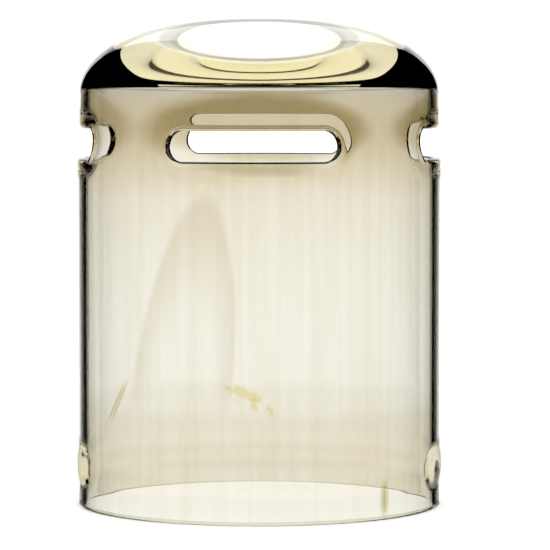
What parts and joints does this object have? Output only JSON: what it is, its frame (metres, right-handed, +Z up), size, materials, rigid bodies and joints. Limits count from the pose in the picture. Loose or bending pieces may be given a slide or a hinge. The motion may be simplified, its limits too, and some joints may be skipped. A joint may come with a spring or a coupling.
{
  "type": "studio lamp glass cover",
  "caption": "Clear domed glass cover for a studio lamp head: a tube closed by a shallow crown, with long vent slots below it, an open rim and low locating lugs.",
  "frame": {"origin": "centre of the open rim, in the plane of the rim's flat land", "axes": "+Z up along the axis towards the crown; +X through the right lug; -Y through the vent slot that faces the viewer"},
  "size_m": [0.076, 0.0754, 0.1005],
  "materials": {
    "borosilicate_glass": "clear with a faint warm ultraviolet coating"
  },
  "bodies": {
    "root": {"side_wall": "borosilicate_glass", "crown": "borosilicate_glass", "left_lug": "borosilicate_glass", "right_lug": "borosilicate_glass"}
  },
  "joints": []
}
